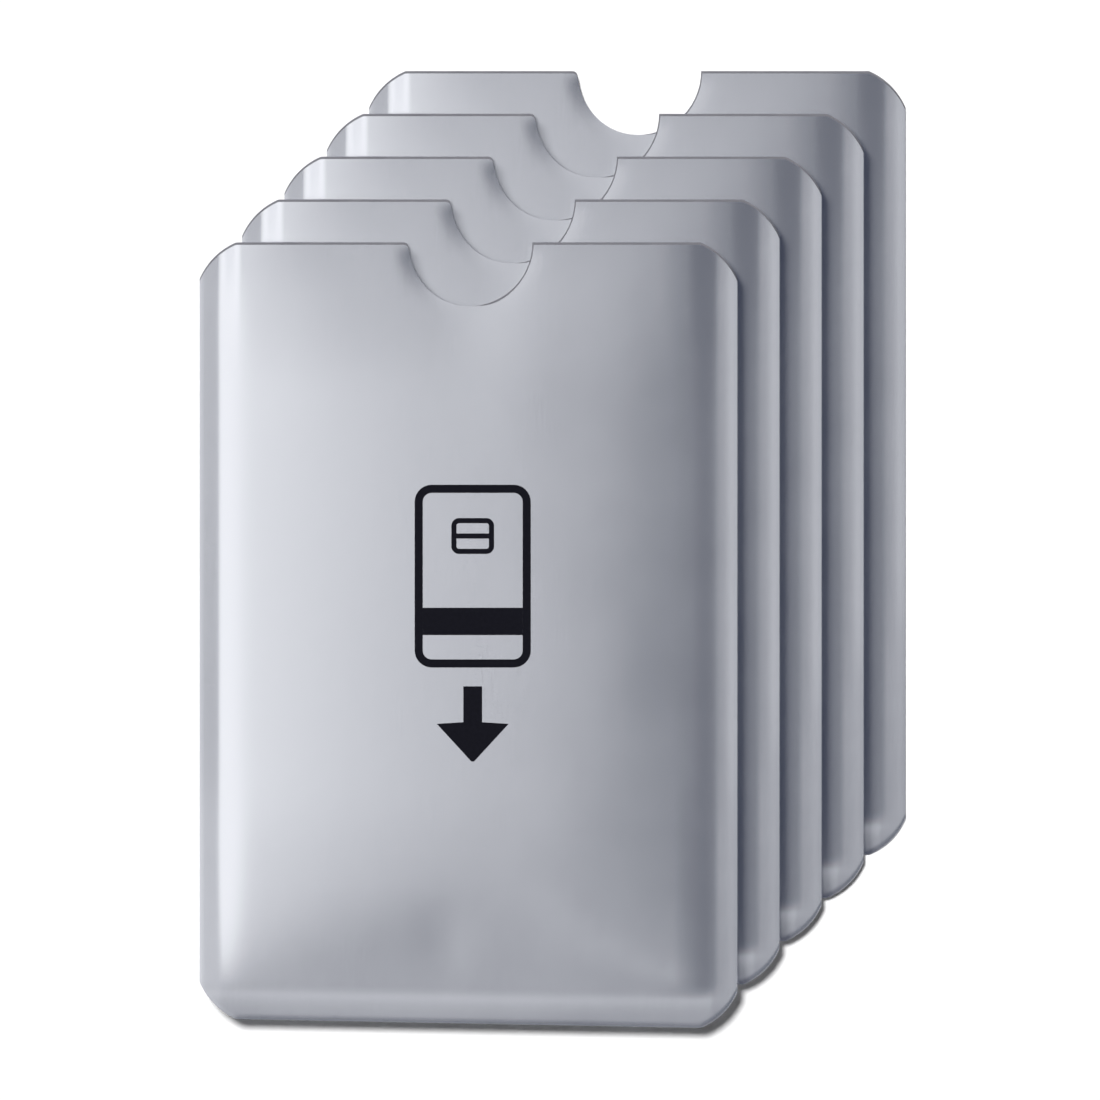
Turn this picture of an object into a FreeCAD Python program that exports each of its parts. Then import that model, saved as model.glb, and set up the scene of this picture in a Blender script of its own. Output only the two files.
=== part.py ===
import FreeCAD, Part
import Sketcher
import math
import os

# A set of card sleeves lying fanned out on one another, with their mouths towards +Y.
# Each sleeve is a flat pouch of two laminate panels, sealed along both sides and the foot.
# The rear panel is flat, and the front panel is raised into a low crowned pocket for one card.

SLEEVE_COUNT = 5

# Driving dimensions, in millimetres
SIZES = {
    # outline of one sleeve, whose foot is cut a little out of square
    "sleeve_width": 63.0,
    "sleeve_height": 91.0,
    "foot_skew": 1.2,
    "corner_cut": 4.3,
    "corner_radius": 8.0,
    "notch_radius": 7.5,
    # laminate of a panel, from the outside in, and the bond between the two panels
    "film_thickness": 0.10,
    "foil_thickness": 0.05,
    "liner_thickness": 0.10,
    "seal_thickness": 0.10,
    # flat sealed margins
    "left_seam": 2.5,
    "right_seam": 3.0,
    "foot_seam": 3.3,
    # raised middle of the front panel
    "flank_run": 1.7,
    "flank_rise": 0.75,
    "crown_rise": 0.35,
    # the fan, from one sleeve to the one below it
    "fan_step_x": 4.95,
    "fan_step_y": 5.05,
    "stack_gap": 0.10,
    # how far a cutting shape runs past what it cuts
    "overrun": 2.0,
}

# Lengths that several pieces share, as expressions over the sheet
HALF_WIDTH = "(Sizes.sleeve_width / 2)"
HALF_HEIGHT = "(Sizes.sleeve_height / 2)"
LAMINATE = "(Sizes.film_thickness + Sizes.foil_thickness + Sizes.liner_thickness)"
SEAM_TOP = f"(2 * {LAMINATE} + Sizes.seal_thickness)"
SLEEVE_THICKNESS = f"({SEAM_TOP} + Sizes.flank_rise + Sizes.crown_rise)"
CLEAR_HALF_WIDTH = f"({HALF_WIDTH} + Sizes.overrun)"
CLEAR_HALF_HEIGHT = f"({HALF_HEIGHT} + Sizes.foot_skew + Sizes.overrun)"
FLANK_HALF_TANGENT = "tan(atan(Sizes.flank_rise / Sizes.flank_run) / 2)"
FLANK_REACH = "(Sizes.flank_rise + Sizes.crown_rise + Sizes.overrun)"
FLANK_REACH_RUN = f"({FLANK_REACH} * Sizes.flank_run / Sizes.flank_rise)"
CROWN_HALF_CHORD = f"({HALF_WIDTH} - (Sizes.left_seam + Sizes.right_seam) / 2 - Sizes.flank_run)"
CROWN_RADIUS = f"(({CROWN_HALF_CHORD}^2 + Sizes.crown_rise^2) / (2 * Sizes.crown_rise))"

# Layers of a panel from the outside in, with the depth at which each one starts and the last one ends
LAYERS = ("film", "foil", "liner")
LAYER_DEPTHS = ("0", "Sizes.film_thickness", "(Sizes.film_thickness + Sizes.foil_thickness)", LAMINATE)

FLAT = FreeCAD.Rotation()
UPRIGHT_XZ = FreeCAD.Rotation(FreeCAD.Vector(1, 0, 0), 90)
UPRIGHT_YZ = FreeCAD.Rotation(FreeCAD.Vector(1, 1, 1), 120)
ALONG_Y = FreeCAD.Rotation(FreeCAD.Vector(1, 0, 0), -90)
START, END, CENTRE = 1, 2, 3
ORIGIN = (-1, 1)

doc = FreeCAD.newDocument("card_sleeves")
sheet = doc.addObject("Spreadsheet::Sheet", "Sizes")
for row, (alias, size) in enumerate(SIZES.items(), start=1):
    sheet.set(f"A{row}", alias)
    sheet.set(f"B{row}", str(size))
    sheet.setAlias(f"B{row}", alias)
doc.recompute()


def value(expression):
    """The present value of an expression over the sheet."""
    return float(sheet.evalExpression(expression))


def bind(item, expressions):
    """Ties properties of an item to expressions over the sheet."""
    for name, expression in expressions.items():
        item.setExpression(name, expression)


def hold(sketch, kind, where, expression):
    """Adds a constraint of a sketch whose value is an expression."""
    index = sketch.addConstraint(Sketcher.Constraint(kind, *where, value(expression)))
    sketch.setExpression(f"Constraints[{index}]", expression)


def closed_sketch(name, corners, rotation=FLAT, bulges=(), bite=None):
    """A closed sketch through corners, which are pairs of expressions listed anticlockwise.

    The stretches are straight, apart from those that start at a corner numbered in bulges, which
    are arcs of the corner radius, and the one that starts at the corner numbered bite: a half
    circle into the outline, centred between its two corners.
    """
    sketch = doc.addObject("Sketcher::SketchObject", name)
    sketch.Placement.Rotation = rotation
    places = [FreeCAD.Vector(value(x), value(y), 0) for x, y in corners]
    for number, start in enumerate(places):
        end = places[(number + 1) % len(places)]
        middle = (start + end) / 2
        half = (end - start) / 2
        outward = FreeCAD.Vector(half.y, -half.x, 0)
        if number in bulges:
            radius = value("Sizes.corner_radius")
            sagitta = radius - math.sqrt(radius**2 - half.Length**2)
            sketch.addGeometry(Part.Arc(start, middle + outward * (sagitta / half.Length), end))
        elif number == bite:
            sketch.addGeometry(Part.Arc(end, middle - outward, start))
        else:
            sketch.addGeometry(Part.LineSegment(start, end))
    for number, (x, y) in enumerate(corners):
        before = (number - 1) % len(corners)
        leaving = (number, END if number == bite else START)
        arriving = (before, START if before == bite else END)
        sketch.addConstraint(Sketcher.Constraint("Coincident", *arriving, *leaving))
        hold(sketch, "DistanceX", ORIGIN + leaving, x)
        hold(sketch, "DistanceY", ORIGIN + leaving, y)
    for number in bulges:
        hold(sketch, "Radius", (number,), "Sizes.corner_radius")
    if bite is not None:
        hold(sketch, "DistanceY", ORIGIN + (bite, CENTRE), corners[bite][1])
    return sketch


def extrude(name, sketch, ahead, behind="0"):
    """A prism on a sketch, along its normal by one expression and against it by another."""
    prism = doc.addObject("Part::Extrusion", name)
    prism.Base = sketch
    prism.DirMode = "Normal"
    prism.Solid = True
    bind(prism, {"LengthFwd": ahead, "LengthRev": behind})
    return prism


def foot_edge(x):
    """Where the skewed foot edge lies at x, both as expressions."""
    return f"(-{HALF_HEIGHT} - Sizes.foot_skew * ({x} + {HALF_WIDTH}) / Sizes.sleeve_width)"


def outline_sketch():
    """Outline of a sleeve: four eased corners and the thumb notch in the mouth."""
    cut = "Sizes.corner_cut"
    left, right, mouth = f"-{HALF_WIDTH}", HALF_WIDTH, HALF_HEIGHT
    inner_left, inner_right = f"({left} + {cut})", f"({right} - {cut})"
    corners = [
        ("-Sizes.notch_radius", mouth),
        (inner_left, mouth),
        (left, f"{mouth} - {cut}"),
        (left, f"{foot_edge(left)} + {cut}"),
        (inner_left, foot_edge(inner_left)),
        (inner_right, foot_edge(inner_right)),
        (right, f"{foot_edge(right)} + {cut}"),
        (right, f"{mouth} - {cut}"),
        (inner_right, mouth),
        ("Sizes.notch_radius", mouth),
    ]
    return closed_sketch("outline", corners, bulges=(1, 3, 5, 7), bite=9)


def side_profile(number, depth):
    """Section across the sleeve at a depth below the front face: flat seams and rising flanks."""
    shift = f"{depth} * {FLANK_HALF_TANGENT}"
    left = f"(Sizes.left_seam - {HALF_WIDTH} + {shift})"
    right = f"({HALF_WIDTH} - Sizes.right_seam - {shift})"
    seam, top = f"({SEAM_TOP} - {depth})", f"({SEAM_TOP} - {depth} + {FLANK_REACH})"
    corners = [
        (f"-{CLEAR_HALF_WIDTH}", "-Sizes.overrun"),
        (CLEAR_HALF_WIDTH, "-Sizes.overrun"),
        (CLEAR_HALF_WIDTH, seam),
        (right, seam),
        (f"{right} - {FLANK_REACH_RUN}", top),
        (f"{left} + {FLANK_REACH_RUN}", top),
        (left, seam),
        (f"-{CLEAR_HALF_WIDTH}", seam),
    ]
    return closed_sketch(f"side_profile_{number}", corners, UPRIGHT_XZ)


def foot_profile(number, depth):
    """Section along the sleeve at a depth below the front face: the foot seam and its flank."""
    foot = f"({foot_edge('0')} + Sizes.foot_seam + {depth} * {FLANK_HALF_TANGENT})"
    seam, top = f"({SEAM_TOP} - {depth})", f"({SEAM_TOP} - {depth} + {FLANK_REACH})"
    corners = [
        (f"-{CLEAR_HALF_HEIGHT}", "-Sizes.overrun"),
        (CLEAR_HALF_HEIGHT, "-Sizes.overrun"),
        (CLEAR_HALF_HEIGHT, top),
        (f"{foot} + {FLANK_REACH_RUN}", top),
        (foot, seam),
        (f"-{CLEAR_HALF_HEIGHT}", seam),
    ]
    return closed_sketch(f"foot_profile_{number}", corners, UPRIGHT_YZ)


def crown(number, depth):
    """Round bar whose upper face is the crown of the pocket at a depth below the front face."""
    bar = doc.addObject("Part::Cylinder", f"crown_{number}")
    bar.Placement.Rotation = ALONG_Y
    bind(bar, {
        "Radius": f"{CROWN_RADIUS} - {depth}",
        "Height": f"2 * {CLEAR_HALF_HEIGHT}",
        "Placement.Base.x": "(Sizes.left_seam - Sizes.right_seam) / 2",
        "Placement.Base.y": f"-{CLEAR_HALF_HEIGHT}",
        "Placement.Base.z": f"{SLEEVE_THICKNESS} - {CROWN_RADIUS}",
    })
    return bar


def under_front(number, depth):
    """All that lies deeper than a depth below the outer face of the front panel."""
    across = extrude(f"across_{number}", side_profile(number, depth), CLEAR_HALF_HEIGHT, CLEAR_HALF_HEIGHT)
    along = extrude(f"along_{number}", foot_profile(number, depth), CLEAR_HALF_WIDTH, CLEAR_HALF_WIDTH)
    along.DirMode = "Custom"
    bind(along, {"Dir.x": "Sizes.sleeve_width", "Dir.y": "-Sizes.foot_skew", "Dir.z": "0"})
    form = doc.addObject("Part::MultiCommon", f"under_front_{number}")
    form.Shapes = [across, along, crown(number, depth)]
    return form


def boolean(kind, name, base, tool):
    """A common, cut or fuse of two items."""
    item = doc.addObject(f"Part::{kind}", name)
    item.Base = base
    item.Tool = tool
    return item


def seal_zones():
    """Where each of the three seals lies, as prisms through the whole sleeve, by name."""
    left, right = f"(Sizes.left_seam - {HALF_WIDTH})", f"({HALF_WIDTH} - Sizes.right_seam)"
    far_x, far_y = CLEAR_HALF_WIDTH, CLEAR_HALF_HEIGHT
    zones = {
        "left_seal": [(f"-{far_x}", f"-{far_y}"), (left, f"-{far_y}"), (left, far_y), (f"-{far_x}", far_y)],
        "right_seal": [(right, f"-{far_y}"), (far_x, f"-{far_y}"), (far_x, far_y), (right, far_y)],
        "foot_seal": [
            (left, f"-{far_y}"),
            (right, f"-{far_y}"),
            (right, f"{foot_edge(right)} + Sizes.foot_seam"),
            (left, f"{foot_edge(left)} + Sizes.foot_seam"),
        ],
    }
    return {
        name: extrude(f"{name}_zone", closed_sketch(f"{name}_plan", corners), SLEEVE_THICKNESS)
        for name, corners in zones.items()
    }


outline = outline_sketch()
blank = extrude("blank", outline, f"{SLEEVE_THICKNESS} + Sizes.overrun")
forms = [under_front(number, depth) for number, depth in enumerate(LAYER_DEPTHS)]
trimmed = [boolean("Common", f"trimmed_{number}", blank, form) for number, form in enumerate(forms[:-1])]
zones = seal_zones()
seal_sheet = extrude("seal_sheet", outline, "Sizes.seal_thickness")
bind(seal_sheet, {"Placement.Base.z": LAMINATE})

nodes = []


def place(item, label, level, height="0"):
    """Names a finished piece and sets it in the fan, level sleeves above the lowest one."""
    item.Label = label
    steps = (SLEEVE_COUNT - 1) / 2 - level
    foot_drop = f"(-{HALF_HEIGHT} - {foot_edge(f'({HALF_WIDTH} - Sizes.corner_cut)')})"
    bind(item, {
        "Placement.Base.x": f"{steps} * Sizes.fan_step_x",
        "Placement.Base.y": f"{steps} * Sizes.fan_step_y + {foot_drop} / 2",
        "Placement.Base.z": f"{level} * ({SLEEVE_THICKNESS} + Sizes.stack_gap) + {height}",
    })
    nodes.append(item)


# The sleeves, numbered from the front of the fan, which is its top, to the lowest at the back
for number in range(1, SLEEVE_COUNT + 1):
    level = SLEEVE_COUNT - number
    sleeve = f"sleeve_{number}"
    for layer, name in enumerate(LAYERS):
        front = boolean("Cut", f"{sleeve}_front_{name}", trimmed[layer], forms[layer + 1])
        place(front, f"{sleeve}_front_{name}", level)
        rear = extrude(f"{sleeve}_rear_{name}", outline, f"Sizes.{name}_thickness")
        place(rear, f"{sleeve}_rear_{name}", level, LAYER_DEPTHS[layer])
    for name, zone in zones.items():
        seal = boolean("Common", f"{sleeve}_{name}", seal_sheet, zone)
        place(seal, f"{sleeve}_{name}", level)

doc.recompute()

for item in doc.Objects:
    if "Invalid" in item.State or "Error" in item.State:
        raise RuntimeError(f"{item.Name} failed: {item.State}")
for node in nodes:
    if node.Shape.isNull() or not node.Shape.isValid() or len(node.Shape.Solids) != 1:
        raise RuntimeError(f"{node.Label} isn't one sound solid")

os.makedirs("parts", exist_ok=True)
for node in nodes:
    node.Shape.exportStep(f"parts/{node.Label}.step")
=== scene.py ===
"""The looks of a fan of five foil card sleeves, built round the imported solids."""

import math

import bpy
import numpy as np
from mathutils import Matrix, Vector


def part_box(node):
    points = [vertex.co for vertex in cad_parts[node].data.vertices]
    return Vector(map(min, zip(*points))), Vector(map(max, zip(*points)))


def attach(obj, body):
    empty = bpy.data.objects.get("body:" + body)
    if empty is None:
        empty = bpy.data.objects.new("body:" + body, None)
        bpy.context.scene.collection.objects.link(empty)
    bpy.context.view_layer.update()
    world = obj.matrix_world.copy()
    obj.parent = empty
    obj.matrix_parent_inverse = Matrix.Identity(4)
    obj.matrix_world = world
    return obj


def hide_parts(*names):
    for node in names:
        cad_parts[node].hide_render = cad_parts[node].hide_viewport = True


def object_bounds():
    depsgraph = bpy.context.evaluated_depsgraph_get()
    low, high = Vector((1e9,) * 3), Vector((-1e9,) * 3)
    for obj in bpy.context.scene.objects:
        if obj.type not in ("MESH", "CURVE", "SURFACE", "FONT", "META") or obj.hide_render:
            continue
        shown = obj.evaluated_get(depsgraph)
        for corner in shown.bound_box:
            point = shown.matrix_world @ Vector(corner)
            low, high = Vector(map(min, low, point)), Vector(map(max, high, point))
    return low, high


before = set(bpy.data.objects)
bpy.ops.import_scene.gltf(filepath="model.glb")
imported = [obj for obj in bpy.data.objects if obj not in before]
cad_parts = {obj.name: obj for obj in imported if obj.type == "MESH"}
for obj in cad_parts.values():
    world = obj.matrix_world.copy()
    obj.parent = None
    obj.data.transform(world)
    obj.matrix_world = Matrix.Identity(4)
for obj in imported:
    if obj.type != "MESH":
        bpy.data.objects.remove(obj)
cad_low, cad_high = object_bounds()

MM = 0.001
SLEEVES = range(1, 6)


def span(node, axis):
    """Length of a node's box along one axis."""
    low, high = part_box(node)
    return high[axis] - low[axis]


# Sizes of one sleeve. The local frame has x from its middle, y from its mouth line, z from its underside.
WIDTH = span("sleeve_1_front_film", 0)
HALF = WIDTH / 2
FOOT_SKEW = 1.2 * MM
HEIGHT = span("sleeve_1_front_film", 1) - FOOT_SKEW
CORNER_CUT = 4.3 * MM
CORNER_RADIUS = 8.0 * MM
NOTCH_RADIUS = 7.5 * MM
NOTCH_LEFT = 7.0 * MM
LEFT_SEAM = span("sleeve_1_left_seal", 0)
RIGHT_SEAM = span("sleeve_1_right_seal", 0)
FOOT_SEAM = 3.3 * MM
FILM = span("sleeve_1_rear_film", 2)
FOIL = span("sleeve_1_rear_foil", 2)
LINER = span("sleeve_1_rear_liner", 2)
SEAL = span("sleeve_1_foot_seal", 2)
LAMINATE = FILM + FOIL + LINER
SEAM_TOP = 2 * LAMINATE + SEAL
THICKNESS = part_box("sleeve_1_front_film")[1].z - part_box("sleeve_1_rear_film")[0].z

# Crown of the front panel, which sags near the mouth and flares at the mouth's edge
CROWN_ROOM = 0.02 * MM
CROWN_RISE = THICKNESS - SEAM_TOP - CROWN_ROOM
SWELL_POWER = 2.7
MOUTH_SAG = 0.05 * MM
MOUTH_REACH = 17.0 * MM
MOUTH_FLARE = 0.06 * MM
FLARE_REACH = 6.0 * MM

# Rise from the left seam: a flank, which takes a share of the crown's rise, then a swell as long as its tail
LEFT_START = -0.20 * MM
LEFT_FLANK = 1.5 * MM
LEFT_FLANK_POWER = 1.5
LEFT_FLANK_SHARE = 0.20
LEFT_TAIL = 35.0 * MM
LEFT_FOOT_FLANK_SHARE = 0.30
LEFT_FOOT_TAIL = 17.0 * MM
LEFT_FOOT_TAIL_START = 6.0 * MM
LEFT_FOOT_TAIL_REACH = 14.0 * MM
LEFT_MOUTH_START = 0.30 * MM
LEFT_MOUTH_EASE = 0.3 * MM
LEFT_MOUTH_FLANK = 1.6 * MM
LEFT_MOUTH_FLANK_SHARE = 0.70
LEFT_MOUTH_TAIL = 12.0 * MM
LEFT_CREASE = 0.022 * MM
LEFT_FOOT_CREASE = -0.018 * MM
LEFT_FOOT_CREASE_REACH = 14.0 * MM

# Rise from the right seam: a slow toe, a soft flank, near the mouth a step, then a swell as long as its tail
RIGHT_TOE = 2.2 * MM
RIGHT_TOE_REACH = 4.4 * MM
RIGHT_TOE_SHARE = 0.13
RIGHT_FOOT_TOE_SHARE = 0.05
RIGHT_EASE = 0.7 * MM
RIGHT_FLANK = 4.5 * MM
RIGHT_FLANK_POWER = 2.2
RIGHT_FLANK_SHARE = 0.05
RIGHT_FOOT_FLANK_SHARE = 0.19
RIGHT_MOUTH_REACH = 22.0 * MM
RIGHT_MOUTH_FLANK = 6.5 * MM
RIGHT_MOUTH_FLANK_SHARE = 0.20
RIGHT_STEP_REACH = 2.8 * MM
RIGHT_STEP_POWER = 2.0
RIGHT_STEP_SHARE = 0.26
RIGHT_TAIL = 26.0 * MM
RIGHT_FOOT_TILT = 0.05 * MM

# Rise from the foot seam, and the zone above the foot in which the flanks change
FOOT_START = 0.3 * MM
FOOT_EASE = 0.7 * MM
FOOT_TAIL = 23.0 * MM
FOOT_POWER = 1.85
FOOT_FLANK_REACH = 2.4 * MM
FOOT_BODY_REACH = 17.0 * MM
FOOT_BODY_START = 28.0 * MM
FOOT_ZONE_START = 20.0 * MM
FOOT_ZONE_REACH = 13.0 * MM
FOOT_GROOVE = 0.012 * MM
GROOVE_WIDTH = 0.7 * MM
GROOVE_REACH = 2 * GROOVE_WIDTH

# Rim of the thumb notch. The front panel has an inset at the mouth, and shares of that inset in the notch.
# The inset bares a strip of the rear liner, whose dark grey gives a painted dark line of shade along the
# mouth and the notch's right rim.
MOUTH_INSET = 0.30 * MM
NOTCH_LOW_SHARE = 1.2
NOTCH_END_SHARE = 0.5
NOTCH_INSET_RUN_SHARE = 0.5
NOTCH_EASE = 0.6 * MM
NOTCH_ROLL = 2.1 * MM
NOTCH_ROLL_START = 2.2 * MM
NOTCH_LEFT_DROP = 0.10 * MM
NOTCH_RIGHT_DROP = 0.025 * MM

# Cut edges, the margin's fall towards the foot, the rear panel and the seals
EDGE_ROLL = 0.6 * MM
LEFT_DROP = 0.012 * MM
RIGHT_DROP = 0.003 * MM
FOOT_DROP = 0.10 * MM
FOOT_DROP_START = 2 * CORNER_CUT
FOOT_FALL = 0.17 * MM
FOOT_FALL_POWER = 2.0
FOOT_RIGHT_FALL = 0.23 * MM
FOOT_RIGHT_FALL_POWER = 1.4
REAR_LIFT = 0.12 * MM
SEAL_RECESS = 0.6 * MM

# Soft dents from handling: place, reach along x and y, depth. A negative depth is a bump.
DENTS = (
    ((-0.5 * MM, -4.0 * MM), (6.0 * MM, 10.0 * MM), 0.08 * MM),
    ((-2.8 * MM, -81.2 * MM), (3.4 * MM, 4.0 * MM), 0.045 * MM),
    ((17.8 * MM, -48.6 * MM), (3.8 * MM, 5.3 * MM), -0.03 * MM),
    ((-18.4 * MM, -12.0 * MM), (7.0 * MM, 10.0 * MM), -0.03 * MM),
    ((13.0 * MM, -19.0 * MM), (5.4 * MM, 13.0 * MM), 0.025 * MM),
)

# Grid of the sheets: counts, bands, the first and longest steps, and how fast steps grow
BODY_ROWS = 26
NOTCH_COLUMNS = 28
SEAL_COLUMNS = 12
SEAL_ROWS = 60
BLEND = 16.0 * MM
FLANK_WIDTH = 3.0 * MM
RIM_BAND = 4.5 * MM
EDGE_STEP = 0.10 * MM
FINE_STEP = 0.25 * MM
SEAM_STEP = 0.4 * MM
RIM_STEP = 0.8 * MM
FOOT_STEP = 1.2 * MM
COARSE_STEP = 2.0 * MM
RIM_GROWTH = 1.2
BODY_GROWTH = 1.25
MOUTH_GROWTH = 1.28
SEAM_GROWTH = 1.4
FOOT_GROWTH = 1.5
COLUMN_DIGITS = 8
SHARP_ANGLE = math.radians(40)

# Print, with places measured from its middle
PRINT_PLACE = (0.5 * MM, -44.6 * MM)
INK_RISE = 0.012 * MM
INK_SINK = 0.010 * MM
CARD_CENTRE = (0.0, 5.5 * MM)
CARD_SIZE = (13.6 * MM, 21.4 * MM)
CARD_RADIUS = 2.0 * MM
CARD_STROKE = 0.95 * MM
CHIP_CENTRE = (0.0, 10.2 * MM)
CHIP_SIZE = (5.0 * MM, 4.2 * MM)
CHIP_RADIUS = 0.9 * MM
CHIP_STROKE = 0.6 * MM
STRIPE_LOW = -1.4 * MM
STRIPE_HIGH = 1.8 * MM
SHAFT_HALF = 1.1 * MM
SHAFT_TOP = -7.4 * MM
HEAD_HALF = 4.2 * MM
HEAD_TOP = -11.6 * MM
SHOULDER_FALL = 0.2 * MM
ARROW_TIP = -16.2 * MM
ARROW_TIP_SHARE = 0.04
BAR_GAP = 0.002 * MM
BAR_STEPS = 8
BAR_COLUMNS = 9
ROUND_STEPS = 8
SIDE_STEPS = 8

# Finishes. Pairs of colours and of roughnesses run over the middle span of a pattern. Scales are per metre.
PATTERN_SPAN = (0.3, 0.7)
FILM_COLOURS = ((0.76, 0.775, 0.825), (0.78, 0.795, 0.845))
FILM_ROUGHNESS = (0.215, 0.24)
FILM_METALLIC = 0.80
MOTTLE_SCALE = 90.0
RIPPLE_SCALE = 420.0
RIPPLE_STRENGTH = 0.06
RIPPLE_HEIGHT = 0.05 * MM
GRAIN_SCALE = 3200.0
GRAIN_STRETCH = (1, 0.12, 1)
GRAIN_STRENGTH = 0.05
GRAIN_HEIGHT = 0.02 * MM
FOIL_COLOURS = ((0.82, 0.82, 0.83), (0.90, 0.90, 0.91))
FOIL_ROUGHNESS = (0.30, 0.42)
FOIL_SCALE = 2600.0
FOIL_STRETCH = (1, 0.1, 1)
# The liner's dark grey is partly painted shade: where the mouth's inset bares a strip of it, it stands in for
# the dark line of shade along each top edge.
LINER_AND_SHADE_COLOURS = ((0.20, 0.20, 0.225), (0.25, 0.25, 0.275))
LINER_ROUGHNESS = (0.5, 0.62)
LINER_SCALE = 260.0
SEAL_COLOURS = ((0.44, 0.44, 0.46), (0.54, 0.54, 0.56))
SEAL_ROUGHNESS = (0.42, 0.55)
SEAL_SCALE = 900.0
INK_COLOURS = ((0.003, 0.003, 0.006), (0.006, 0.006, 0.010))
INK_ROUGHNESS = (0.50, 0.60)
INK_SCALE = 2400.0
INK_SPECULAR = 0.15

# Stage. The camera looks straight down, and its picture is this wide at the level of the fan's top.
FRAME_WIDTH = 128.8 * MM
VIEW_HEIGHT = 3.0
VIEW_CENTRE = (-0.35 * MM, -0.08 * MM)
VIEW_NEAR = 0.1
VIEW_FAR = 10.0
WHITE = (1.0, 1.0, 1.0, 1)
FLOOR_REACH = 6.0
FLOOR_LEVEL = -0.03 * MM
FLOOR_COLOUR = (0.9, 0.9, 0.9, 1)
FLOOR_ROUGHNESS = 0.9
FLOOR_GLOW = 0.05

# Lamps: the direction towards each, its spread in degrees and its strength
KEY_LAMP = ((-0.48, 0.42, 0.77), 24.0, 3.6)
FILL_LAMP = ((0.5, -0.3, 0.8), 60.0, 0.3)
FLOOR_LAMP = ((-0.11, 0.155, 1.0), 8.0, 3.6)

# Sky. Its limits are components of a direction: towards the light side for the roof's fade, along y for
# its dim back end, and along z for the roof's edge and the horizon.
LIGHT_SIDE = (-0.94, 0.34, 0.0)
SKY_BRIGHT = (1.14, 1.14, 1.14, 1)
SKY_DARK = (0.035, 0.045, 0.08, 1)
SKY_SHIFT = 0.018
SKY_EDGE = 0.15
SKY_BACK = (0.34, 0.35, 0.40, 1)
SKY_BACK_LOW = 0.40
SKY_BACK_HIGH = 0.56
ROOF_LOW = 0.55
ROOF_HIGH = 0.70
HORIZON_LOW = 0.08
HORIZON_HIGH = 0.30
WALL_PANELS = 3
WALL_BRIGHT = (0.98, 0.98, 1.0, 1)
WALL_DARK = (0.22, 0.23, 0.27, 1)


def smooth(t):
    """Eased step from 0 to 1."""
    t = np.clip(t, 0.0, 1.0)
    return t * t * (3 - 2 * t)


def between(low, high, share):
    """A value part of the way from low to high."""
    return low + (high - low) * share


def graded(start, end, first, growth, limit):
    """Places from start to end, with steps that begin at first and grow to at most limit."""
    steps = [0.0]
    step = first
    while steps[-1] < abs(end - start):
        steps.append(steps[-1] + step)
        step = min(step * growth, limit)
    shares = np.array(steps) / steps[-1]
    return start + (end - start) * shares


# Outline of a sleeve
def corner_depth(x):
    """How far a rounded corner stands back from the mouth line or the foot line."""
    centre = CORNER_CUT / 2 + math.sqrt((CORNER_RADIUS**2 - CORNER_CUT**2 / 2) / 2)
    inward = np.minimum(HALF - np.abs(x), CORNER_CUT)
    return centre - np.sqrt(CORNER_RADIUS**2 - (centre - inward) ** 2)


def notch_place(x):
    """x measured so that the notch, a little tight on its left, becomes a circle."""
    return np.where(x < 0, x * NOTCH_RADIUS / NOTCH_LEFT, x)


def mouth_edge(x, inset):
    """The mouth's outline with its thumb notch, as y.

    An inset panel stands back from it, but not on the notch's left.
    """
    side = np.clip(x / NOTCH_RADIUS, 0, 1)
    inset_share = smooth(side / NOTCH_INSET_RUN_SHARE) * between(NOTCH_LOW_SHARE, NOTCH_END_SHARE, side)
    radius = NOTCH_RADIUS + inset * inset_share
    notch = np.sqrt(np.maximum(radius**2 - notch_place(x) ** 2, 0.0))
    lead = np.where(x < 0, np.clip(x + NOTCH_LEFT + NOTCH_EASE, 0, NOTCH_EASE), 0.0)
    eased_corner = NOTCH_EASE - np.sqrt(NOTCH_EASE**2 - lead**2)
    return -np.maximum(notch, inset + eased_corner) - corner_depth(x)


def foot_line(x):
    """The foot's straight edge, which runs a little out of square."""
    return -HEIGHT - FOOT_SKEW * (x + HALF) / WIDTH


def column_places(inset):
    """x of the grid's columns, close together where the sheet bends or is cut."""
    turn = np.sin(np.linspace(-math.pi / 2, math.pi / 2, NOTCH_COLUMNS + 1))
    notch = np.where(turn < 0, turn * NOTCH_LEFT, turn * (NOTCH_RADIUS + NOTCH_END_SHARE * inset))
    left_rim, right_rim = notch[0], notch[-1]
    left_flank = -HALF + LEFT_SEAM
    left_top = left_flank + FLANK_WIDTH
    right_flank = HALF - RIGHT_SEAM + RIGHT_TOE
    right_top = HALF - RIGHT_SEAM - RIGHT_FLANK
    parts = [
        graded(-HALF, left_flank, EDGE_STEP, SEAM_GROWTH, SEAM_STEP),
        np.arange(left_flank, left_top, FINE_STEP),
        graded(left_top, left_rim - RIM_BAND, FINE_STEP, BODY_GROWTH, COARSE_STEP),
        graded(left_rim, left_rim - RIM_BAND, EDGE_STEP, RIM_GROWTH, RIM_STEP),
        notch,
        graded(right_rim, right_rim + RIM_BAND, FINE_STEP, RIM_GROWTH, RIM_STEP),
        graded(right_top, right_rim + RIM_BAND, FINE_STEP, BODY_GROWTH, COARSE_STEP),
        np.arange(right_flank, right_top, -FINE_STEP),
        graded(HALF, right_flank, EDGE_STEP, SEAM_GROWTH, SEAM_STEP),
    ]
    return np.unique(np.round(np.concatenate(parts), COLUMN_DIGITS))


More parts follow.
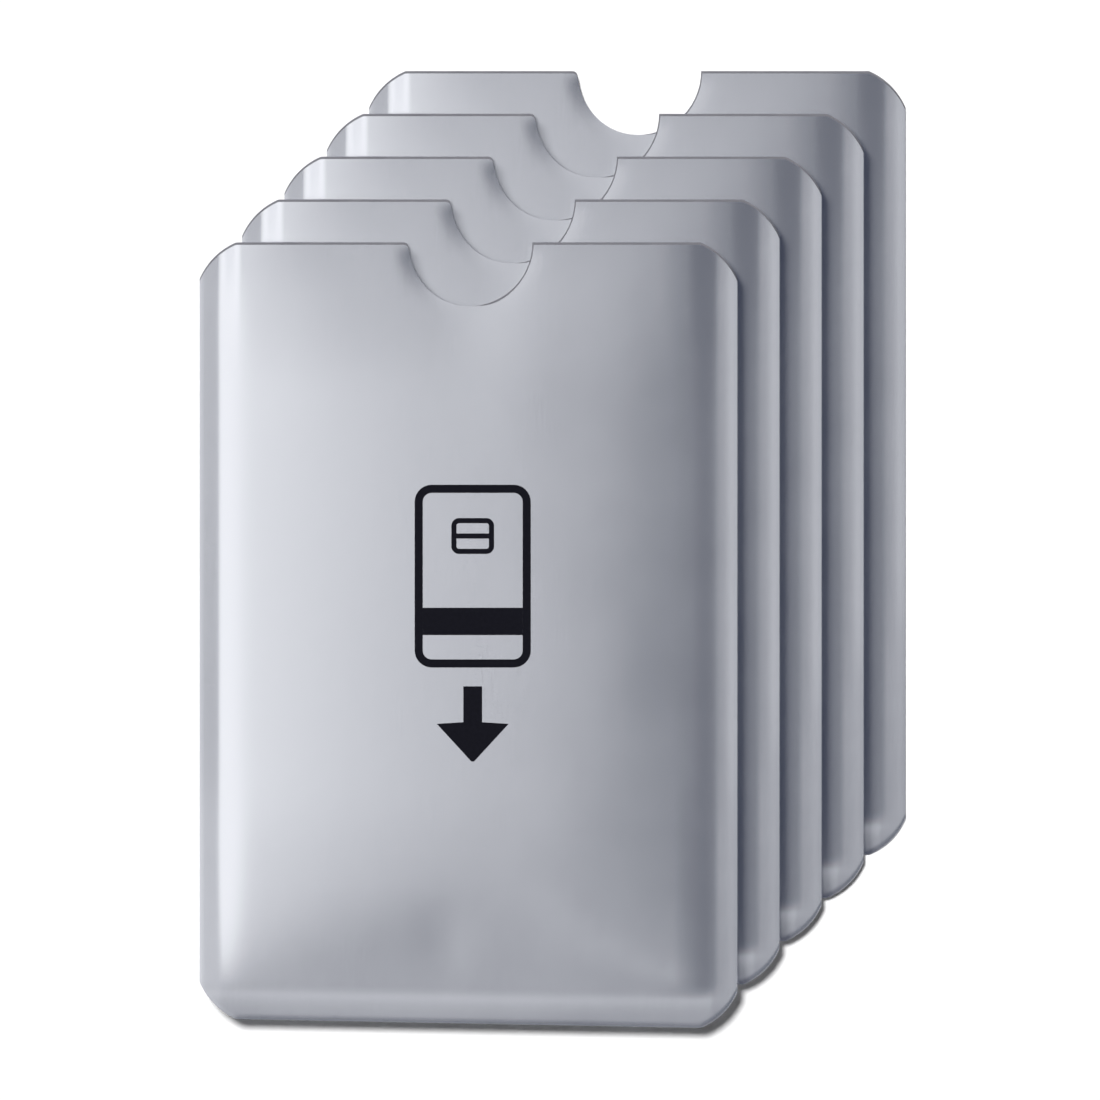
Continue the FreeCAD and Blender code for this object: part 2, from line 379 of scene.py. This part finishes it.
def sheet_grid(inset):
    """x and y of a sheet's grid, with its outer rows on the outline. Rows run from foot to mouth."""
    x = column_places(inset)
    from_mouth = graded(0.0, BLEND, EDGE_STEP, MOUTH_GROWTH, COARSE_STEP)
    groove_start = FOOT_SEAM - GROOVE_REACH
    groove_end = FOOT_SEAM + GROOVE_REACH
    from_foot = np.concatenate([
        graded(0.0, groove_start, EDGE_STEP, FOOT_GROWTH, FINE_STEP)[:-1],
        np.arange(groove_start, groove_end, FINE_STEP),
        graded(groove_end, BLEND, FINE_STEP, BODY_GROWTH, FOOT_STEP),
    ])
    rows = []
    for step in from_foot:
        rows.append(foot_line(x) + step + corner_depth(x) * (1 - smooth(step / BLEND)))
    for share in np.linspace(0, 1, BODY_ROWS + 2)[1:-1]:
        rows.append((foot_line(x) + BLEND) * (1 - share) - BLEND * share)
    for step in from_mouth[::-1]:
        rows.append(mouth_edge(x, inset) * (1 - smooth(step / BLEND)) - step)
    y = np.array(rows)
    return np.broadcast_to(x, y.shape), y


# Heights of the panels
def swell(distance, tail, power):
    """Rise from 0 at a margin to 1 at the end of its tail, steepest at the margin."""
    return 1 - (1 - np.clip(distance / tail, 0, 1)) ** power


def eased(distance, reach):
    """Distance past a margin, eased in over a reach to each side of it."""
    near = (distance + reach) ** 2 / (4 * reach)
    return np.where(distance < -reach, 0.0, np.where(distance > reach, distance, near))


def left_rise(distance, near_mouth, near_foot, at_foot):
    """Rise from the left seam: a crisp flank, then a long swell, shorter at the foot and the mouth."""
    body_share = between(LEFT_FLANK_SHARE, LEFT_FOOT_FLANK_SHARE, near_foot)
    share = between(body_share, LEFT_MOUTH_FLANK_SHARE, near_mouth)
    tail = between(between(LEFT_TAIL, LEFT_FOOT_TAIL, at_foot), LEFT_MOUTH_TAIL, near_mouth)
    soft = 1 - np.exp(-(np.maximum(distance - LEFT_START, 0) / LEFT_FLANK) ** LEFT_FLANK_POWER)
    past = distance - LEFT_MOUTH_START
    climbed = eased(past, LEFT_MOUTH_EASE) - eased(past - LEFT_MOUTH_FLANK, LEFT_MOUTH_EASE)
    flank = between(soft, climbed / LEFT_MOUTH_FLANK, near_mouth)
    return share * flank + (1 - share) * swell(distance, tail, SWELL_POWER)


def right_rise(distance, near_mouth, near_foot):
    """Rise from the right seam in two parts: a margin of toe, flank and step, and a long swell."""
    step_share = RIGHT_STEP_SHARE * near_mouth
    toe_share = between(RIGHT_TOE_SHARE, RIGHT_FOOT_TOE_SHARE, near_foot)
    body_share = between(RIGHT_FLANK_SHARE, RIGHT_FOOT_FLANK_SHARE, near_foot)
    flank_share = between(body_share, RIGHT_MOUTH_FLANK_SHARE, near_mouth)
    swell_share = 1 - toe_share - step_share - flank_share
    reach = between(RIGHT_FLANK, RIGHT_MOUTH_FLANK, near_mouth)
    toe = smooth((distance + RIGHT_TOE) / RIGHT_TOE_REACH)
    inside = eased(distance, RIGHT_EASE)
    step = swell(inside, RIGHT_STEP_REACH, RIGHT_STEP_POWER)
    flank = swell(inside, reach, RIGHT_FLANK_POWER)
    long_swell = swell(inside, RIGHT_TAIL, SWELL_POWER)
    margin = toe_share * toe + step_share * step + flank_share * flank
    return margin, swell_share * long_swell


def foot_rise(x, y):
    """Rise from the foot seam in two parts: the right margin's, crisp beside its seam, and the body's."""
    above_seam = y - foot_line(x) - FOOT_SEAM
    body = swell(eased(above_seam - FOOT_START, FOOT_EASE), FOOT_TAIL, FOOT_POWER)
    from_right = smooth((HALF - RIGHT_SEAM - x) / FOOT_BODY_START)
    margin = smooth(above_seam / between(FOOT_FLANK_REACH, FOOT_BODY_REACH, from_right))
    return margin, body


def foot_zone(x, y, start=FOOT_ZONE_START, reach=FOOT_ZONE_REACH):
    """1 near the foot and 0 further up, eased over a reach that starts some way above the foot."""
    return 1 - smooth((y - foot_line(x) - start) / reach)


def pouch_rise(x, y):
    """Height of the pouch over its sealed margins."""
    near_mouth = 1 - smooth(-y / MOUTH_REACH)
    near_foot = foot_zone(x, y)
    at_foot = foot_zone(x, y, LEFT_FOOT_TAIL_START, LEFT_FOOT_TAIL_REACH)
    left = left_rise(x + HALF - LEFT_SEAM, near_mouth, near_foot, at_foot)
    right_near_mouth = 1 - smooth(-y / RIGHT_MOUTH_REACH)
    right_margin, right_swell = right_rise(HALF - RIGHT_SEAM - x, right_near_mouth, near_foot)
    foot_margin, foot_body = foot_rise(x, y)
    right = right_margin * foot_margin + right_swell * foot_body
    return (CROWN_RISE - MOUTH_SAG * near_mouth) * left * right


def left_crease(distance, near_foot):
    """Dip of the left seam towards its crease with the pouch. Near the foot it is a slight rise instead."""
    seam = np.clip(1 + distance / LEFT_SEAM, 0, 1)
    pouch = np.clip(1 - distance / between(LEFT_FLANK, LEFT_FOOT_CREASE_REACH, near_foot), 0, 1) ** 2
    return between(LEFT_CREASE, LEFT_FOOT_CREASE, near_foot) * np.where(distance < 0, seam, pouch)


def right_tilt(distance, near_foot):
    """Fall of the right seam towards its cut edge, near the foot."""
    return RIGHT_FOOT_TILT * near_foot * np.clip(-distance / RIGHT_SEAM, 0, 1)


def front_top(x, y):
    """Outer face of the front panel."""
    near_foot = foot_zone(x, y)
    height = SEAM_TOP + pouch_rise(x, y)
    height -= left_crease(x + HALF - LEFT_SEAM, near_foot) + right_tilt(HALF - RIGHT_SEAM - x, near_foot)
    height += MOUTH_FLARE * (1 - np.clip(-y / FLARE_REACH, 0, 1)) ** 2
    from_notch = np.hypot(notch_place(x), y)
    side = np.clip(notch_place(x) / np.maximum(from_notch, NOTCH_RADIUS), -1, 1)
    drop = np.where(side < 0, NOTCH_LEFT_DROP, NOTCH_RIGHT_DROP) * side**2
    drop = drop * smooth(-y / NOTCH_ROLL_START)
    height -= drop * (1 - np.clip((from_notch - NOTCH_RADIUS) / NOTCH_ROLL, 0, 1)) ** 2
    height -= FOOT_GROOVE * np.exp(-(((y - foot_line(x) - FOOT_SEAM) / GROOVE_WIDTH) ** 2))
    for middle, reach, depth in DENTS:
        away = ((x - middle[0]) / reach[0]) ** 2 + ((y - middle[1]) / reach[1]) ** 2
        height -= depth * np.exp(-away)
    return height


def rear_bottom(x, y):
    """Outer face of the rear panel, which lies flat at its margins and dishes in a little."""
    return REAR_LIFT * smooth(pouch_rise(x, y) / CROWN_RISE)


def edge_roll(distance):
    """Share of an edge's drop at a distance from the cut."""
    return (1 - np.clip(distance / EDGE_ROLL, 0, 1)) ** 2


def pinch(x, y):
    """Share of its thickness that the sealed margin keeps, less towards the foot and at the cut edges."""
    above_foot = y - foot_line(x)
    to_right = smooth(x / HALF)
    depth = between(FOOT_FALL, FOOT_RIGHT_FALL, to_right)
    power = between(FOOT_FALL_POWER, FOOT_RIGHT_FALL_POWER, to_right)
    fall = depth * (1 - np.clip(above_foot / FOOT_SEAM, 0, 1)) ** power
    foot = FOOT_DROP * edge_roll(above_foot - corner_depth(x)) * smooth((x + HALF) / FOOT_DROP_START)
    left = LEFT_DROP * edge_roll(x + HALF)
    right = RIGHT_DROP * edge_roll(HALF - x)
    return 1 - (fall + np.maximum(np.maximum(left, right), foot)) / SEAM_TOP


# Meshes
PIECES = []


def finish_mesh(name, verts, faces, material):
    """A new object from vertices and faces, smooth except at its sharp edges."""
    mesh = bpy.data.meshes.new(name)
    mesh.from_pydata(verts, [], faces)
    mesh.shade_smooth()
    mesh.set_sharp_from_angle(angle=SHARP_ANGLE)
    mesh.materials.append(material)
    piece = bpy.data.objects.new(name, mesh)
    bpy.context.scene.collection.objects.link(piece)
    PIECES.append(piece)
    return piece


def closed_grid_faces(rows, columns):
    """Faces of a closed sheet whose top grid's vertices come first and its bottom grid's second."""
    index = np.arange(rows * columns).reshape(rows, columns)
    under = rows * columns
    a, b = index[:-1, :-1].ravel(), index[:-1, 1:].ravel()
    c, d = index[1:, 1:].ravel(), index[1:, :-1].ravel()
    faces = [np.stack([a, b, c, d], 1), np.stack([d, c, b, a], 1) + under]
    for border in (index[0, ::-1], index[-1, :], index[:, 0], index[::-1, -1]):
        p, q = border[:-1], border[1:]
        faces.append(np.stack([p, q, q + under, p + under], 1))
    return np.concatenate(faces).tolist()


def sheet_piece(name, x, y, top, bottom, material):
    """A closed thin sheet between two height fields on one grid, pinched with the margins."""
    keep = pinch(x, y)
    upper = np.stack([x, y, top * keep], -1).reshape(-1, 3)
    lower = np.stack([x, y, bottom * keep], -1).reshape(-1, 3)
    verts = np.concatenate([upper, lower]).tolist()
    return finish_mesh(name, verts, closed_grid_faces(*x.shape), material)


# Nodes
def add_node(tree, kind, **values):
    """A node with some of its properties and sockets set."""
    node = tree.nodes.new(kind)
    for key, value in values.items():
        if key in node.inputs:
            node.inputs[key].default_value = value
        else:
            setattr(node, key, value)
    return node


def feed(tree, socket, value):
    """Links a socket to another one, or sets it to a plain value."""
    if isinstance(value, bpy.types.NodeSocket):
        tree.links.new(value, socket)
    else:
        socket.default_value = value


def calculate(tree, operation, *values):
    """The result of a math node on sockets or plain numbers."""
    node = add_node(tree, "ShaderNodeMath", operation=operation)
    for socket, value in zip(node.inputs, values):
        feed(tree, socket, value)
    return node.outputs["Value"]


def map_range(tree, value, source, target, easing="LINEAR"):
    """A value moved from one range to another."""
    node = add_node(tree, "ShaderNodeMapRange", interpolation_type=easing)
    for name, limit in zip(("From Min", "From Max", "To Min", "To Max"), (*source, *target)):
        node.inputs[name].default_value = limit
    tree.links.new(value, node.inputs["Value"])
    return node.outputs["Result"]


def soft_step(tree, value, low, high):
    """A step from 0 to 1 between two values, eased at both ends."""
    return map_range(tree, value, (low, high), (0.0, 1.0), "SMOOTHSTEP")


def mix_colour(tree, factor, low, high):
    """A colour between two, each a plain colour or a socket."""
    node = add_node(tree, "ShaderNodeMix", data_type="RGBA")
    sockets = {socket.identifier: socket for socket in (*node.inputs, *node.outputs)}
    tree.links.new(factor, sockets["Factor_Float"])
    feed(tree, sockets["A_Color"], low)
    feed(tree, sockets["B_Color"], high)
    return sockets["Result_Color"]


def object_vector(tree, scale=(1, 1, 1)):
    """Object coordinates, stretched."""
    place = add_node(tree, "ShaderNodeTexCoord")
    mapping = add_node(tree, "ShaderNodeMapping", Scale=scale)
    tree.links.new(place.outputs["Object"], mapping.inputs["Vector"])
    return mapping.outputs["Vector"]


def noise(tree, vector, scale, detail):
    """A noise texture on a vector."""
    node = add_node(tree, "ShaderNodeTexNoise", Scale=scale, Detail=detail)
    tree.links.new(vector, node.inputs["Vector"])
    return node.outputs["Fac"]


def bump(tree, height, strength, distance, below=None):
    """A bump node, on top of another bump's normal if there is one."""
    node = add_node(tree, "ShaderNodeBump", Strength=strength, Distance=distance)
    tree.links.new(height, node.inputs["Height"])
    if below is not None:
        tree.links.new(below, node.inputs["Normal"])
    return node.outputs["Normal"]


# Materials
def new_material(name):
    """A node material with its shader."""
    material = bpy.data.materials.new(name)
    material.use_nodes = True
    return material, material.node_tree, material.node_tree.nodes["Principled BSDF"]


def vary(tree, shader, pattern, colours, roughness):
    """Lets a shader's colour and roughness follow a pattern, each between two values."""
    ramp = add_node(tree, "ShaderNodeValToRGB")
    for stop, position, colour in zip(ramp.color_ramp.elements, PATTERN_SPAN, colours):
        stop.position = position
        stop.color = (*colour, 1)
    tree.links.new(pattern, ramp.inputs["Fac"])
    tree.links.new(ramp.outputs["Color"], shader.inputs["Base Color"])
    tree.links.new(map_range(tree, pattern, PATTERN_SPAN, roughness), shader.inputs["Roughness"])


def silver_film():
    """Satin metallised film with a fine rolled grain, a slight ripple and soft mottling."""
    material, tree, shader = new_material("silver_film")
    vector = object_vector(tree)
    grain = noise(tree, object_vector(tree, GRAIN_STRETCH), GRAIN_SCALE, detail=2.0)
    mottle = noise(tree, vector, MOTTLE_SCALE, detail=4.0)
    ripple = noise(tree, vector, RIPPLE_SCALE, detail=2.0)
    vary(tree, shader, mottle, FILM_COLOURS, FILM_ROUGHNESS)
    under = bump(tree, ripple, RIPPLE_STRENGTH, RIPPLE_HEIGHT)
    tree.links.new(bump(tree, grain, GRAIN_STRENGTH, GRAIN_HEIGHT, under), shader.inputs["Normal"])
    shader.inputs["Metallic"].default_value = FILM_METALLIC
    return material


def shield_foil():
    """Bare aluminium foil, seen at the cut edges."""
    material, tree, shader = new_material("shield_foil")
    grain = noise(tree, object_vector(tree, FOIL_STRETCH), FOIL_SCALE, detail=3.0)
    vary(tree, shader, grain, FOIL_COLOURS, FOIL_ROUGHNESS)
    shader.inputs["Metallic"].default_value = 1.0
    return material


def sealant_liner():
    """Grey matt film on the inner faces, kept dark so that the strip of it bared by the mouth's inset gives
    the painted dark line of shade along each sleeve's top edge.
    """
    material, tree, shader = new_material("sealant_liner")
    cloud = noise(tree, object_vector(tree), LINER_SCALE, detail=4.0)
    vary(tree, shader, cloud, LINER_AND_SHADE_COLOURS, LINER_ROUGHNESS)
    return material


def heat_seal():
    """The fused band between the panels."""
    material, tree, shader = new_material("heat_seal")
    cloud = noise(tree, object_vector(tree), SEAL_SCALE, detail=3.0)
    vary(tree, shader, cloud, SEAL_COLOURS, SEAL_ROUGHNESS)
    return material


def ink():
    """Black printing ink, a little uneven."""
    material, tree, shader = new_material("print_ink")
    cloud = noise(tree, object_vector(tree), INK_SCALE, detail=3.0)
    vary(tree, shader, cloud, INK_COLOURS, INK_ROUGHNESS)
    shader.inputs["Specular IOR Level"].default_value = INK_SPECULAR
    return material


# Sleeves
SEAL_LOOK = heat_seal()
INK_LOOK = ink()

# Layers from the outside in: name, thickness, material and the record's slot
LAYERS = (
    ("film", FILM, silver_film(), "silver_film"),
    ("foil", FOIL, shield_foil(), "shield_foil"),
    ("liner", LINER, sealant_liner(), "sealant_liner"),
)


def place(piece, number):
    """Puts a piece on its sleeve and lets it move with it."""
    low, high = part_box(f"sleeve_{number}_front_film")
    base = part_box(f"sleeve_{number}_rear_film")[0].z
    piece.location = ((low.x + high.x) / 2, high.y, base)
    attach(piece, f"sleeve_{number}")


def add_panel(number, side):
    """The three layers of a sleeve's front or rear panel."""
    front = side == "front"
    x, y = sheet_grid(MOUTH_INSET if front else 0.0)
    outer = front_top(x, y) if front else rear_bottom(x, y)
    for label, thickness, look, slot in LAYERS:
        node = f"sleeve_{number}_{side}_{label}"
        if front:
            inner = outer - thickness
            top, bottom = outer, inner
        else:
            inner = outer + thickness
            top, bottom = inner, outer
        piece = sheet_piece(node + "_sheet", x, y, top, bottom, look)
        place(piece, number)
        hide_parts(node)
        outer = inner


def seal_grid(side):
    """x and y of one fused band's grid, kept back a little from the cut edge."""
    inner_left = -HALF + LEFT_SEAM
    inner_right = HALF - RIGHT_SEAM
    ends = {
        "left": (-HALF + SEAL_RECESS, inner_left),
        "right": (inner_right, HALF - SEAL_RECESS),
        "foot": (inner_left, inner_right),
    }
    x = np.linspace(*ends[side], SEAL_COLUMNS)
    start = foot_line(x) + corner_depth(x) + SEAL_RECESS
    end = foot_line(x) + FOOT_SEAM
    if side != "foot":
        end = mouth_edge(x, MOUTH_INSET) - SEAL_RECESS
    shares = np.linspace(0, 1, SEAL_ROWS)[:, None]
    y = start * (1 - shares) + end * shares
    return np.broadcast_to(x, y.shape), y


def add_seals(number):
    """The fused bands that join a sleeve's two panels."""
    for side in ("left", "right", "foot"):
        node = f"sleeve_{number}_{side}_seal"
        x, y = seal_grid(side)
        top = front_top(x, y) - LAMINATE
        bottom = rear_bottom(x, y) + LAMINATE
        piece = sheet_piece(node + "_band", x, y, top, bottom, SEAL_LOOK)
        place(piece, number)
        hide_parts(node)


# Print: a portrait card with a chip and a stripe, over an arrow that points into the pouch
def rounded_rectangle(centre, size, radius):
    """Points round a rectangle with rounded corners, counter-clockwise, with steps along its sides."""
    arcs = []
    for quarter, sides in enumerate(((1, 1), (-1, 1), (-1, -1), (1, -1))):
        angles = np.radians(90 * quarter + np.linspace(0, 90, ROUND_STEPS + 1))
        pivot = np.array(centre) + np.array(sides) * (np.array(size) / 2 - radius)
        arcs.append(pivot + radius * np.column_stack([np.cos(angles), np.sin(angles)]))
    shares = np.linspace(0, 1, SIDE_STEPS + 1)[1:-1, None]
    points = []
    for arc, following in zip(arcs, arcs[1:] + arcs[:1]):
        points.extend([arc, between(arc[-1], following[0], shares)])
    return np.concatenate(points)


class InkSheet:
    """Collects thin closed bodies of ink that lie on the front panel. Places are from the print's middle."""

    def __init__(self):
        self.verts = []
        self.faces = []

    def points(self, x, y, lift):
        """Adds points that stand a little over or under the panel's face."""
        x = np.ravel(x) + PRINT_PLACE[0]
        y = np.ravel(y) + PRINT_PLACE[1]
        self.verts.extend(np.column_stack([x, y, front_top(x, y) + lift]).tolist())

    def ring(self, outer, inner):
        """A closed band between two outlines that run counter-clockwise."""
        count = len(outer)
        first = len(self.verts)
        for lift in (INK_RISE, -INK_SINK):
            for line in (outer, inner):
                self.points(line[:, 0], line[:, 1], lift)
        a, b, c, d = (first + count * k for k in range(4))
        for i in range(count):
            j = (i + 1) % count
            self.faces.append((a + i, a + j, b + j, b + i))
            self.faces.append((c + i, d + i, d + j, c + j))
            self.faces.append((a + i, c + i, c + j, a + j))
            self.faces.append((b + i, b + j, d + j, d + i))

    def border(self, centre, size, radius, stroke):
        """A rounded rectangle drawn with a stroke inside its size."""
        inner_size = (size[0] - 2 * stroke, size[1] - 2 * stroke)
        outer = rounded_rectangle(centre, size, radius)
        self.ring(outer, rounded_rectangle(centre, inner_size, radius - stroke))

    def solid(self, middle, levels):
        """A filled shape round an upright line, given from its foot up as pairs of height and half width."""
        heights, halves = np.array(levels).T
        corners = range(len(levels))
        places = np.linspace(0, corners[-1], corners[-1] * BAR_STEPS + 1)
        y = np.interp(places, corners, heights)[:, None]
        half = np.interp(places, corners, halves)[:, None]
        x = middle + half * np.linspace(-1, 1, BAR_COLUMNS)
        y = np.broadcast_to(y, x.shape)
        first = len(self.verts)
        self.points(x, y, INK_RISE)
        self.points(x, y, -INK_SINK)
        self.faces.extend((np.array(closed_grid_faces(*x.shape)) + first).tolist())


def add_print(number):
    """The black pictogram on a sleeve's front."""
    sheet = InkSheet()
    sheet.border(CARD_CENTRE, CARD_SIZE, CARD_RADIUS, CARD_STROKE)
    sheet.border(CHIP_CENTRE, CHIP_SIZE, CHIP_RADIUS, CHIP_STROKE)
    chip_x, chip_y = CHIP_CENTRE
    half_line = CHIP_STROKE / 2
    line_half_width = CHIP_SIZE[0] / 2 - CHIP_STROKE - BAR_GAP
    sheet.solid(chip_x, (
        (chip_y - half_line, line_half_width),
        (chip_y + half_line, line_half_width),
    ))
    card_x = CARD_CENTRE[0]
    stripe_half_width = CARD_SIZE[0] / 2 - CARD_STROKE - BAR_GAP
    sheet.solid(card_x, (
        (STRIPE_LOW, stripe_half_width),
        (STRIPE_HIGH, stripe_half_width),
    ))
    sheet.solid(card_x, (
        (ARROW_TIP, HEAD_HALF * ARROW_TIP_SHARE),
        (HEAD_TOP - SHOULDER_FALL, HEAD_HALF),
        (HEAD_TOP, SHAFT_HALF),
        (SHAFT_TOP, SHAFT_HALF),
    ))
    piece = finish_mesh(f"sleeve_{number}_print", sheet.verts, sheet.faces, INK_LOOK)
    place(piece, number)


for number in SLEEVES:
    add_panel(number, "front")
    add_panel(number, "rear")
    add_seals(number)
    add_print(number)


# Stage: floor, light and camera
def floor_material():
    """White, with a slight glow where the camera or a reflection sees it."""
    material, tree, shader = new_material("floor")
    shader.inputs["Base Color"].default_value = FLOOR_COLOUR
    shader.inputs["Roughness"].default_value = FLOOR_ROUGHNESS
    shader.inputs["Specular IOR Level"].default_value = 0.0
    shader.inputs["Emission Color"].default_value = WHITE
    rays = add_node(tree, "ShaderNodeLightPath").outputs
    reflected = calculate(tree, "MAXIMUM", rays["Is Glossy Ray"], rays["Is Transmission Ray"])
    seen = calculate(tree, "MAXIMUM", rays["Is Camera Ray"], reflected)
    tree.links.new(calculate(tree, "MULTIPLY", seen, FLOOR_GLOW), shader.inputs["Emission Strength"])
    return material


def add_floor():
    """A white floor that keeps the shadows."""
    mesh = bpy.data.meshes.new("floor")
    corners = []
    for side_x, side_y in ((-1, -1), (1, -1), (1, 1), (-1, 1)):
        corners.append((side_x * FLOOR_REACH, side_y * FLOOR_REACH, FLOOR_LEVEL))
    mesh.from_pydata(corners, [], [(0, 1, 2, 3)])
    mesh.materials.append(floor_material())
    floor = bpy.data.objects.new("floor", mesh)
    bpy.context.scene.collection.objects.link(floor)
    return floor


def sky_roof(tree, direction, parts):
    """The sky's roof, which fades from bright on the left to dark on the right and is dim at its back end."""
    across = add_node(tree, "ShaderNodeVectorMath", operation="DOT_PRODUCT")
    feed(tree, across.inputs[0], direction)
    feed(tree, across.inputs[1], LIGHT_SIDE)
    to_light = soft_step(tree, across.outputs["Value"], SKY_SHIFT - SKY_EDGE, SKY_SHIFT + SKY_EDGE)
    fade = mix_colour(tree, to_light, SKY_DARK, SKY_BRIGHT)
    back = soft_step(tree, parts["Y"], SKY_BACK_LOW, SKY_BACK_HIGH)
    return mix_colour(tree, back, fade, SKY_BACK)


def sky_walls(tree, parts):
    """The sky's walls: bright panels with dark ones between them, over a white horizon."""
    turn = calculate(tree, "ARCTAN2", parts["Y"], parts["X"])
    wave = calculate(tree, "COSINE", calculate(tree, "MULTIPLY", turn, WALL_PANELS))
    panel = map_range(tree, wave, (-1.0, 1.0), (1.0, 0.0))
    around = mix_colour(tree, panel, WALL_DARK, WALL_BRIGHT)
    above_horizon = soft_step(tree, parts["Z"], HORIZON_LOW, HORIZON_HIGH)
    return mix_colour(tree, above_horizon, WHITE, around)


def add_world():
    """A studio sky, a roof over soft walls, which lights no diffuse surface."""
    world = bpy.data.worlds.new("studio")
    bpy.context.scene.world = world
    world.use_nodes = True
    world.cycles_visibility.diffuse = False
    tree = world.node_tree
    direction = add_node(tree, "ShaderNodeTexCoord").outputs["Generated"]
    split = add_node(tree, "ShaderNodeSeparateXYZ")
    tree.links.new(direction, split.inputs["Vector"])
    roof = sky_roof(tree, direction, split.outputs)
    walls = sky_walls(tree, split.outputs)
    overhead = soft_step(tree, split.outputs["Z"], ROOF_LOW, ROOF_HIGH)
    tree.links.new(mix_colour(tree, overhead, walls, roof), tree.nodes["Background"].inputs["Color"])


def add_lamp(name, towards, spread, strength, lit):
    """A distant soft lamp that lights some objects and shows in no reflection."""
    light = bpy.data.lights.new(name, "SUN")
    light.angle = math.radians(spread)
    light.energy = strength
    lamp = bpy.data.objects.new(name, light)
    lamp.rotation_mode = "QUATERNION"
    lamp.rotation_quaternion = Vector(towards).to_track_quat("Z", "Y")
    lamp.visible_glossy = False
    bpy.context.scene.collection.objects.link(lamp)
    receivers = bpy.data.collections.new(name + "_receivers")
    for piece in lit:
        receivers.objects.link(piece)
    lamp.light_linking.receiver_collection = receivers


def add_camera():
    """A long lens straight above the fan."""
    data = bpy.data.cameras.new("camera")
    data.lens = data.sensor_width * (VIEW_HEIGHT - cad_high.z) / FRAME_WIDTH
    data.clip_start = VIEW_NEAR
    data.clip_end = VIEW_FAR
    camera = bpy.data.objects.new("camera", data)
    camera.location = (*VIEW_CENTRE, VIEW_HEIGHT)
    bpy.context.scene.collection.objects.link(camera)
    bpy.context.scene.camera = camera


floor = add_floor()
add_world()
add_lamp("key", *KEY_LAMP, PIECES)
add_lamp("fill", *FILL_LAMP, PIECES)
add_lamp("floor_lamp", *FLOOR_LAMP, [floor])
add_camera()
bpy.context.scene.view_settings.view_transform = "Standard"
